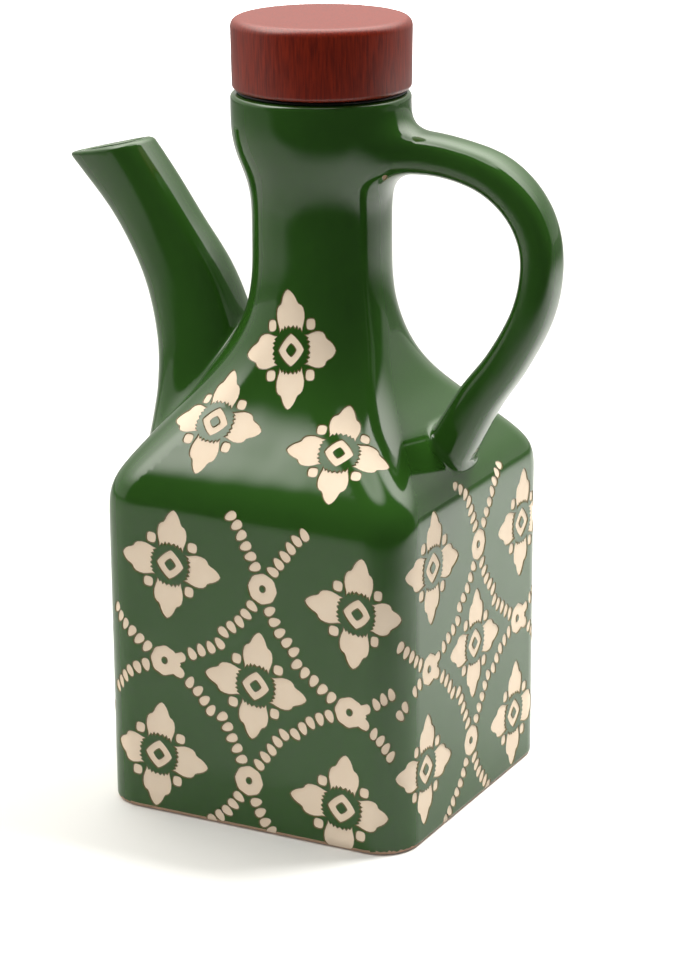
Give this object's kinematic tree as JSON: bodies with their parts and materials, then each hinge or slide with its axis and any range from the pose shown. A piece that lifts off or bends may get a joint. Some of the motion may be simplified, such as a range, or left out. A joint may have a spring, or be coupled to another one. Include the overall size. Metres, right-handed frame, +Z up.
{
  "type": "ceramic oil cruet",
  "caption": "Square glazed ceramic oil cruet with a cream motif pattern, a raised pouring spout, a loop handle and a turned wooden stopper.",
  "frame": {"origin": "centre of the flat base, on the axis of the body and the neck", "axes": "+Z up; the front face looks along -Y; the spout leans towards -X and the handle stands at +X"},
  "size_m": [0.1365, 0.085, 0.1967],
  "materials": {
    "green_glazed_ceramic": "glossy dark green glaze with matt cream motifs of bare clay",
    "black_silicone": "matt black sealing ring",
    "red_brown_wood": "turned hardwood, stained red-brown, satin"
  },
  "bodies": {
    "root": {"cruet": "green_glazed_ceramic", "seal": "black_silicone", "stopper": "red_brown_wood"}
  },
  "joints": []
}
